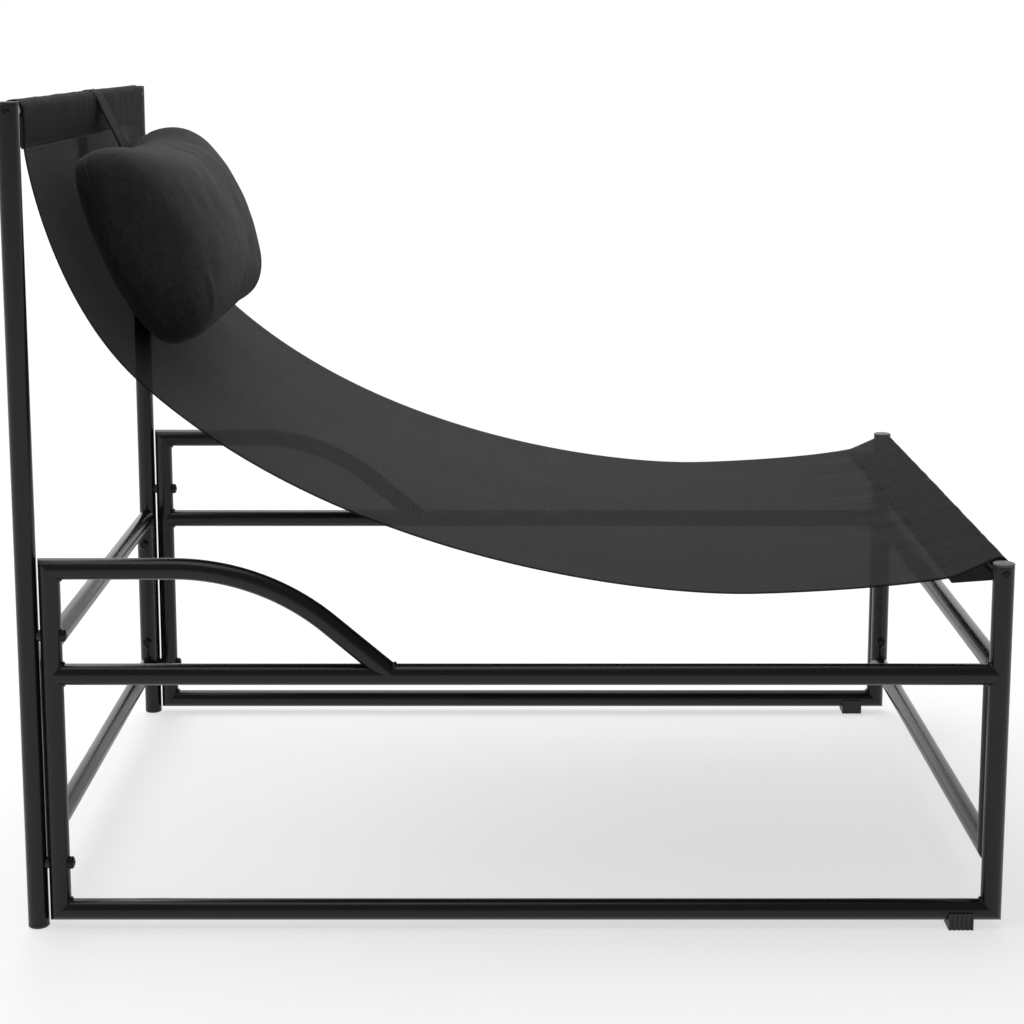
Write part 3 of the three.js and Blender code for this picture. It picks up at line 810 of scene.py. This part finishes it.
def seam_loop(obj, count=420):
    """Where the two panels meet: points on the surface all the way round, and the way out at each."""
    graph = bpy.context.evaluated_depsgraph_get()
    tree = BVHTree.FromObject(obj, graph)
    places, normals = [], []
    for k in range(count):
        turn = 2 * math.pi * k / count
        y = HALF_WIDE * power(math.cos(turn), 0.35)
        up = HALF_UP * power(math.sin(turn), 0.35)
        front = seam_front(up)
        middle, outside = world_of(front, 0, 0), world_of(front, y, up)
        way = (middle - outside) / np.linalg.norm(middle - outside)
        hit, normal, _, _ = tree.ray_cast(Vector(outside - way * 0.06), Vector(way))
        if hit is not None:
            places.append(np.array(hit))
            normals.append(np.array(normal))
    return np.array(places), np.array(normals)


def evened(loop, steps=3):
    for _ in range(steps):
        loop = (np.roll(loop, 1, axis=0) + 2 * loop + np.roll(loop, -1, axis=0)) / 4
    return loop


GROOVE_DEPTH = 0.0022
GROOVE_REACH = 0.0045
SEAM_SINK = 0.0013
SEAM_RADIUS = 0.0009


def press_groove(obj, places, normals):
    """Presses a groove into the cushion along its seam, deeper and shallower as the cloth gathers."""
    nearest = KDTree(len(places))
    for k, place in enumerate(places):
        nearest.insert(Vector(place), k)
    nearest.balance()
    points = coordinates(obj)
    for i, p in enumerate(points):
        _, k, apart = nearest.find(Vector(p))
        gather = 1 + 0.5 * sway(k * 0.35, 7.7)
        points[i] = p - normals[k] * GROOVE_DEPTH * gather * math.exp(-((apart / GROOVE_REACH) ** 2))
    set_coordinates(obj, points)


def loop_tube(name, loop, normals, radius, material, sides=8):
    """A closed tube along a loop of points."""
    way = np.roll(loop, -1, axis=0) - np.roll(loop, 1, axis=0)
    way /= np.linalg.norm(way, axis=1)[:, None]
    side = np.cross(way, normals)
    side /= np.linalg.norm(side, axis=1)[:, None]
    out = np.cross(side, way)
    vertices = []
    for k in range(len(loop)):
        for q in range(sides):
            turn = 2 * math.pi * q / sides
            vertices.append(loop[k] + radius * (math.cos(turn) * out[k] + math.sin(turn) * side[k]))
    obj = add(name, vertices, grid_faces(len(loop), sides, closed=True), material)
    tidy_normals(obj)
    return obj


def pillow_uv(obj):
    """Real-size UVs by the side each face looks to."""
    layer = obj.data.uv_layers.new(name="flat")
    for polygon in obj.data.polygons:
        facing = np.array([polygon.normal.x, polygon.normal.z])
        to_front = abs(facing @ PILLOW_FRONT) > abs(facing @ PILLOW_UP)
        at_end = abs(polygon.normal.y) > 0.72
        for index in polygon.loop_indices:
            p = obj.data.vertices[obj.data.loops[index].vertex_index].co
            local = np.array([p.x, p.z]) - PILLOW_MIDDLE
            front, up = local @ PILLOW_FRONT, local @ PILLOW_UP
            if at_end:
                layer.data[index].uv = (front, up)
            else:
                layer.data[index].uv = (p.y, up if to_front else front)


seam_places, seam_normals = seam_loop(pillow)
seam_places = evened(seam_places)
press_groove(pillow, seam_places, seam_normals)
for polygon in pillow.data.polygons:
    polygon.use_smooth = True
pillow.data.materials.clear()
pillow.data.materials.append(PILLOW)

outward = evened(seam_normals)
seam = loop_tube("pillow_seam", seam_places - outward * SEAM_SINK, outward, SEAM_RADIUS, SEAM)
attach(seam, "pillow")

pillow_uv(pillow)
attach(pillow, "pillow")
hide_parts("pillow")

# ---- Strap ----

STRAP_SEAM = np.array([-0.4560, 0.7846])
STRAP_TAIL = 0.110
STITCHES_IN = 0.003
strap_touch, _ = tangent_angles(REAR_BAR, STRAP_RADIUS, STRAP_SEAM)
# From just past the pillow's seam over the bar, then hanging behind the sling with a slight wave.
strap_path = np.vstack(
    [
        [STRAP_SEAM + (STRAP_SEAM - REAR_BAR) * 0.02],
        arc(REAR_BAR, STRAP_RADIUS, strap_touch, math.pi, 20),
        [REAR_BAR + [-STRAP_RADIUS, -0.03]],
        [REAR_BAR + [-STRAP_RADIUS + 0.0012, -0.07]],
        [REAR_BAR + [-STRAP_RADIUS - 0.0004, -STRAP_TAIL]],
    ]
)
strap_line = resample(strap_path, 0.004)


def strap_shift(at, y):
    edge = (abs(y) / (STRAP_WIDTH / 2)) ** 4
    return np.array([0.0004 * edge + 0.0006 * sway(s * 30 + y * 10, 4.4) for s in at]) + 0.0004


strap = cloth_strip("strap_cloth", strap_line, STRAP_WIDTH, STRAP_MIDDLE, 0.003, STRAP, 0.0011, strap_shift)
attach(strap, "strap")
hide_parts("pillow_strap")


def strap_row(name, y):
    """A row of stitches along the strap's outer face."""
    inward = normals_of(strap_line)
    lift = strap_shift(lengths_of(strap_line), y) - 0.0006
    place = strap_line + inward * lift[:, None]
    points = np.stack([place[:, 0], np.full(len(place), STRAP_MIDDLE + y), place[:, 1]], axis=1)
    out = np.stack([-inward[:, 0], np.zeros(len(place)), -inward[:, 1]], axis=1)
    row = stitch_row(name, points, out, pitch=0.0038, length=0.0030, radius=0.0003)
    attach(row, "strap")
    return row


strap_rows = [
    strap_row("strap_stitches_right", -STRAP_WIDTH / 2 + STITCHES_IN),
    strap_row("strap_stitches_left", STRAP_WIDTH / 2 - STITCHES_IN),
]

# ---- Tubes, joined without a gap where they are welded ----

SIDES = 40
UP = np.array([0.0, 0.0, 1.0])
ALONG = np.array([1.0, 0.0, 0.0])
ACROSS = np.array([0.0, 1.0, 0.0])


def plane_cut(corner, normal):
    """Ends a tube at a plane, as a mitre does."""
    corner, normal = np.array(corner, float), np.array(normal, float)
    return lambda place, way: ((corner - place) @ normal) / (way @ normal)


def saddle_cut(centre, axis, radius):
    """Ends a tube on the near side of a round one that it runs into."""
    centre, axis = np.array(centre, float), np.array(axis, float)

    def cut(place, way):
        a = way - (way @ axis) * axis
        b = (place - centre) - ((place - centre) @ axis) * axis
        p, q, r = a @ a, 2 * (a @ b), b @ b - radius * radius
        return (-q - math.sqrt(max(q * q - 4 * p * r, 0.0))) / (2 * p)

    return cut


def flat_cut(place, way):
    return 0.0


def ring(origin, way, first, radius, cut):
    """The end of a tube, its points slid along its axis to where it is cut."""
    second = np.cross(way, first)
    points = []
    for k in range(SIDES):
        turn = 2 * math.pi * k / SIDES
        place = origin + radius * (math.cos(turn) * first + math.sin(turn) * second)
        points.append(place + way * cut(place, way))
    return np.array(points)


def tube_piece(name, node, path, first, cut_start, cut_end, radius=TUBE_RADIUS):
    """A tube along a path, first being the direction its ring starts in. Gives its two end rings."""
    path = np.array(path, float)
    last = len(path) - 1
    way = np.gradient(path, axis=0)
    way[0], way[-1] = path[1] - path[0], path[-1] - path[-2]
    way /= np.linalg.norm(way, axis=1)[:, None]
    side = np.cross(way[0], first)
    rings = []
    for i, here in enumerate(path):
        up = np.cross(side, way[i])
        if i == 0:
            # The start is slid backwards, so its ring is made looking out of the tube.
            made = ring(here, -way[i], up, radius, cut_start)
            made = np.roll(made[::-1], 1, axis=0)
        else:
            made = ring(here, way[i], up, radius, cut_end if i == last else flat_cut)
        rings.append(made)
    vertices = [v for each in rings for v in each]
    faces = grid_faces(len(path), SIDES)
    for end, order in ((0, -1), (last, 1)):
        face = list(range(len(vertices), len(vertices) + SIDES))
        vertices.extend(rings[end])
        faces.append(face[::order])
    obj = add(name, vertices, faces, PAINT)
    tidy_normals(obj)
    in_frame(obj, node)
    return rings[0], rings[-1]


WELD_ROOT = 0.0005
LEAST_BEAD = 0.05
CORNER_BEAD = 0.0024
RAIL_BEAD = 0.0022
ARM_BEAD = 0.0020
HELPER_WAY = np.array([0.31, 0.27, 0.91])


def weld(name, joint, radius, share):
    """A bead along part of a joint's ring. share gives its fatness at each angle from the ring's start."""
    count, sides = len(joint), 8
    sizes = [share(2 * math.pi * k / count) for k in range(count)]
    thinnest = min(range(count), key=lambda k: sizes[k])
    order = [(thinnest + k) % count for k in range(count + 1)]
    order = [k for k in order if sizes[k] > LEAST_BEAD]
    points = np.array([joint[k] for k in order])
    way = np.gradient(points, axis=0)
    way /= np.linalg.norm(way, axis=1)[:, None] + 1e-12
    vertices = []
    for i, k in enumerate(order):
        a = np.cross(way[i], HELPER_WAY)
        a /= np.linalg.norm(a)
        b = np.cross(way[i], a)
        lump = 1 + 0.16 * sway(i * 0.9 + joint[0][0] * 31, 9.9 + joint[0][2] * 17)
        reach = radius * sizes[k] * lump + WELD_ROOT
        for q in range(sides):
            turn = 2 * math.pi * q / sides
            vertices.append(points[i] + (a * math.cos(turn) + b * math.sin(turn)) * reach)
    faces = grid_faces(len(order), sides)
    faces.append(list(range(sides)))
    faces.append([(len(order) - 1) * sides + q for q in range(sides)])
    obj = add(name, vertices, faces, WELD)
    tidy_normals(obj)
    refine(obj, "round")
    in_frame(obj, None)


def inner_side(turn):
    """Fat in the inner corner of a mitre, which is where the ring starts."""
    return max(0.0, math.cos(turn)) ** 4


def above(turn):
    """Fat on the side that the ring starts at, and gone about 55 degrees to either side."""
    return max(0.0, math.cos(turn) - 0.55) / 0.45


def below(turn):
    return above(turn + math.pi)


ARM_BEND_START = LEG_X + 0.126
ARM_BEND_RADIUS = 0.244
ARM_SLOPE = math.radians(40.3)


def armrest_path(y):
    centre = np.array([ARM_BEND_START, ARM_Z - ARM_BEND_RADIUS])
    points = [(LEG_X, y, ARM_Z)]
    for k in range(41):
        turn = ARM_SLOPE * k / 40
        x = centre[0] + ARM_BEND_RADIUS * math.sin(turn)
        z = centre[1] + ARM_BEND_RADIUS * math.cos(turn)
        points.append((x, y, z))
    x, _, z = points[-1]
    points.append((x + (z - MID_Z) / math.tan(ARM_SLOPE), y, MID_Z))
    return points


POST_TOP = POST_HEIGHT - CAP_THICKNESS
UPRIGHT_TOP = UPRIGHT_HEIGHT - CAP_THICKNESS

for label, side in LABELS:
    y = side * SIDE_Y
    foot, post, arm = (LEG_X, y, RAIL_Z), (POST_X, y, RAIL_Z), (LEG_X, y, ARM_Z)
    foot_cut = plane_cut(foot, (1, 0, -1))
    post_cut = plane_cut(post, (1, 0, 1))
    arm_cut = plane_cut(arm, (1, 0, 1))
    upright = [(UPRIGHT_X, y, UPRIGHT_FOOT), (UPRIGHT_X, y, UPRIGHT_TOP)]
    tube_piece(f"upright_tube_{label}", f"rear_upright_{label}", upright, ALONG, flat_cut, flat_cut)
    low, high = tube_piece(f"leg_tube_{label}", f"rear_leg_{label}", [foot, arm], ALONG, foot_cut, arm_cut)
    weld(f"weld_leg_foot_{label}", low, CORNER_BEAD, inner_side)
    weld(f"weld_leg_top_{label}", high, CORNER_BEAD, inner_side)
    rail = [foot, post]
    _, front = tube_piece(f"bottom_tube_{label}", f"bottom_rail_{label}", rail, UP, foot_cut, post_cut)
    weld(f"weld_post_foot_{label}", front, CORNER_BEAD, inner_side)
    path = [post, (POST_X, y, POST_TOP)]
    tube_piece(f"post_tube_{label}", f"front_post_{label}", path, -ALONG, post_cut, flat_cut)
    path = [(LEG_X, y, MID_Z), (POST_X, y, MID_Z)]
    cuts = [saddle_cut(place, UP, TUBE_RADIUS) for place in path]
    rear, front = tube_piece(f"mid_tube_{label}", f"mid_rail_{label}", path, UP, *cuts)
    for where, joint in (("rear", rear), ("front", front)):
        weld(f"weld_mid_{where}_above_{label}", joint, RAIL_BEAD, above)
        weld(f"weld_mid_{where}_below_{label}", joint, RAIL_BEAD, below)
    path = armrest_path(y)
    end_cut = saddle_cut(path[-1], ALONG, TUBE_RADIUS)
    _, end = tube_piece(f"arm_tube_{label}", f"armrest_{label}", path, UP, arm_cut, end_cut)
    weld(f"weld_arm_{label}", end, ARM_BEAD, above)

for end, x, bar_z in ENDS:
    for where, z, tilt in (("low", CROSS_LOW, 1), ("high", CROSS_HIGH, -1)):
        path = [(x, -CROSS_Y, z), (x, CROSS_Y, z)]
        cuts = [plane_cut(place, (0, side, tilt)) for place, (_, side) in zip(path, LABELS)]
        name, node = f"{end}_cross_tube_{where}", f"{end}_cross_bar_{where}"
        near, far = tube_piece(name, node, path, tilt * UP, *cuts)
        weld(f"weld_{end}_{where}_right", near, CORNER_BEAD, inner_side)
        weld(f"weld_{end}_{where}_left", far, CORNER_BEAD, inner_side)
    for label, side in LABELS:
        path = [(x, side * CROSS_Y, CROSS_LOW), (x, side * CROSS_Y, CROSS_HIGH)]
        cuts = [plane_cut(place, (0, side, tilt)) for place, tilt in zip(path, (1, -1))]
        name, node = f"{end}_cross_upright_{label}", f"{end}_cross_post_{label}"
        tube_piece(name, node, path, -side * ACROSS, *cuts)
    path = [(x, -SIDE_Y, bar_z), (x, SIDE_Y, bar_z)]
    cuts = [saddle_cut(place, UP, TUBE_RADIUS) for place in path]
    tube_piece(f"{end}_bar_tube", f"{end}_sling_bar", path, UP, *cuts, radius=BAR_RADIUS)

# ---- Caps, plugs, bolts and screws ----


def turned(name, node, profile, origin, way, material, hexagon=None):
    """A turned piece: a profile of (radius, height) along its way, and a socket's (width, depth)."""
    origin, way = np.array(origin, float), np.array(way, float)
    first = np.cross(way, ACROSS if abs(way[1]) < 0.9 else UP)
    first /= np.linalg.norm(first)
    second = np.cross(way, first)
    rows = [(r, h, False) for r, h in profile]
    if hexagon:
        width, depth = hexagon
        rows = [(width, depth, True), (width, 0.0002, True)] + rows
    vertices = []
    for radius, height, is_hex in rows:
        for k in range(SIDES):
            turn = 2 * math.pi * k / SIDES
            r = radius
            if is_hex:
                r = radius * math.cos(math.pi / 6) / math.cos((turn % (math.pi / 3)) - math.pi / 6)
            vertices.append(origin + way * height + r * (math.cos(turn) * first + math.sin(turn) * second))
    faces = grid_faces(len(rows), SIDES)
    faces.append(list(range(SIDES))[::-1])
    faces.append([(len(rows) - 1) * SIDES + k for k in range(SIDES)])
    obj = add(name, vertices, faces, material)
    tidy_normals(obj)
    obj.data.set_sharp_from_angle(angle=math.radians(38))
    in_frame(obj, node)


def rounded(radius, top, bottom, edge, steps=5):
    """A disc's profile from the rim of its top to its bottom, with a rounded top edge."""
    out = [(radius - edge, top)]
    for k in range(1, steps + 1):
        turn = math.pi / 2 * k / steps
        out.append((radius - edge + edge * math.sin(turn), top - edge * (1 - math.cos(turn))))
    out.append((radius, bottom))
    return out


def dome(radius, height, skirt):
    """A button head: dome, short cylinder and a skirt that sinks into its tube. Heights run into the tube."""
    out = []
    for k in range(9):
        turn = math.radians(28 + 62 * k / 8)
        out.append((radius * math.sin(turn), 0.62 * height * (1 - math.cos(turn))))
    out = [(r, h - out[0][1]) for r, h in out]
    out.append((radius, height))
    out.append((radius * 0.97, height + skirt))
    return out


BOLT_HEIGHT = 0.0050
BOLT_SHAPE = dome(0.0065, BOLT_HEIGHT, 0.0020) + [(0.003, 0.0071), (0.003, 0.0366)]
BOLT_SOCKET = (0.0022, 0.0018)
SCREW_HEIGHT = 0.0020
SCREW_SHAPE = dome(0.0045, SCREW_HEIGHT, 0.0012) + [(0.0022, 0.0033), (0.0022, 0.030)]
SCREW_SOCKET = (0.0016, 0.0012)
CAP_RIM = 0.0024
CAP_EDGE = 0.0008
PLUG_SHAPE = [
    (TUBE_RADIUS - 0.001, 0.0),
    (TUBE_RADIUS, 0.001),
    (TUBE_RADIUS, 0.003),
    (0.0095, UPRIGHT_FOOT),
    (0.0095, 0.012),
]


def fastener(name, shape, place, way, socket):
    turned(f"{name}_head", name, shape, place, way, BOLT, socket)


for label, side in LABELS:
    y = side * SIDE_Y
    for name, x, top, material, slot_name in (
        ("upright_cap", UPRIGHT_X, UPRIGHT_HEIGHT, PLASTIC, "black_plastic"),
        ("front_post_cap", POST_X, POST_HEIGHT, CAP, "cap_plastic"),
    ):
        shape = rounded(TUBE_RADIUS, top, top - CAP_RIM, CAP_EDGE)
        turned(f"{name}_round_{label}", f"{name}_{label}", shape, (x, y, 0), UP, material)
    name, node = f"plug_round_{label}", f"upright_plug_{label}"
    turned(name, node, PLUG_SHAPE, (UPRIGHT_X, y, 0), UP, PLASTIC)
    for where, z in (("low", 0.069), ("high", 0.313)):
        place = (LEG_X + TUBE_RADIUS + BOLT_HEIGHT, y, z)
        fastener(f"leg_bolt_{where}_{label}", BOLT_SHAPE, place, (-1, 0, 0), BOLT_SOCKET)
    for end, x, bar_z in ENDS:
        for where, z in (("low", 0.107), ("high", 0.243)):
            place = (x, side * (CROSS_Y - TUBE_RADIUS - BOLT_HEIGHT), z)
            fastener(f"{end}_cross_bolt_{where}_{label}", BOLT_SHAPE, place, (0, side, 0), BOLT_SOCKET)
        place = (x, side * (SIDE_Y + TUBE_RADIUS + SCREW_HEIGHT), bar_z)
        fastener(f"{end}_bar_screw_{label}", SCREW_SHAPE, place, (0, -side, 0), SCREW_SOCKET)

# ---- Floor, light and camera ----

FLOOR_REACH = 40
scene = bpy.context.scene
ground = Shader("floor_pale")
speck = ground.noise(ground.places(), 3.0, 2.0)
ray = ground.node("ShaderNodeVectorMath", operation="LENGTH")
ground.join(ground.places(), ray.inputs[0])
far = ground.span(ray.outputs["Value"], 1.4, 3.4, 0.0, 1.0)
near = ground.math("SUBTRACT", 1.0, far)
ground.set(
    Base_Color=ground.grey(ground.math("MULTIPLY", near, ground.span(speck, 0.3, 0.7, 0.42, 0.435))),
    Roughness=0.9,
    Specular_IOR_Level=0.1,
    Emission_Color=WHITE,
    Emission_Strength=ground.span(far, 0.0, 1.0, 0.62, 1.0),
)
corners = [(a * FLOOR_REACH, b * FLOOR_REACH, 0) for a, b in ((-1, -1), (1, -1), (1, 1), (-1, 1))]
floor = add("floor", corners, [(0, 1, 2, 3)], ground.material, smooth=False)

# The backdrop is white where the camera sees it and dimmer where it lights the object.
world = bpy.data.worlds.new("studio")
scene.world = world
world.use_nodes = True
sky = Nodes(world.node_tree)
facing = sky.node("ShaderNodeSeparateXYZ")
sky.join(sky.places("Generated"), facing.inputs[0])
glow = sky.span(facing.outputs[1], -0.2, 0.75, 0.28, 0.74, interpolation_type="SMOOTHSTEP")
dim = sky.span(facing.outputs[0], -0.3, 1.0, 1.0, 0.35)
panel = sky.span(facing.outputs[1], 0.86, 0.97, 0.0, 1.0)
room = sky.tree.nodes["Background"]
sky.put(WHITE, room.inputs["Color"])
sky.join(sky.math("ADD", sky.math("MULTIPLY", glow, dim), panel), room.inputs["Strength"])
seen = sky.node("ShaderNodeBackground")
sky.put(WHITE, seen.inputs["Color"])
choose = sky.node("ShaderNodeMixShader")
sky.join(sky.node("ShaderNodeLightPath").outputs["Is Camera Ray"], choose.inputs[0])
sky.join(room.outputs[0], choose.inputs[1])
sky.join(seen.outputs[0], choose.inputs[2])
sky.join(choose.outputs[0], sky.tree.nodes["World Output"].inputs["Surface"])


def area_light(name, place, target, width, height, watts):
    data = bpy.data.lights.new(name, "AREA")
    data.shape = "RECTANGLE"
    data.size, data.size_y = width, height
    data.energy = watts
    lamp = bpy.data.objects.new(name, data)
    bpy.context.collection.objects.link(lamp)
    lamp.location = place
    lamp.rotation_euler = (Vector(target) - Vector(place)).to_track_quat("-Z", "Y").to_euler()


area_light("overhead", (-0.9, 0.5, 3.6), (0, 0, 0.3), 4.0, 4.0, 102)
area_light("key", (-0.5, 2.3, 3.0), (0, 0, 0.5), 1.6, 1.6, 22)

scene.view_settings.view_transform = "Standard"
scene.view_settings.look = "None"
scene.view_settings.exposure = 0.0

# The photograph is level with a large shift. The shift stays small here, because every view keeps it,
# and a tilt of the camera takes up the rest.
CAMERA_TILT = 9.313
camera_data = bpy.data.cameras.new("camera")
camera = bpy.data.objects.new("camera", camera_data)
bpy.context.collection.objects.link(camera)
camera_data.lens = 72.7
camera_data.sensor_width = 36
camera_data.shift_y = -0.13
camera_data.clip_start = 0.05
camera_data.clip_end = 200
camera.location = (-0.0027, -2.3894, 0.9127)
camera.rotation_euler = (math.radians(90 - CAMERA_TILT), 0, 0)
scene.camera = camera
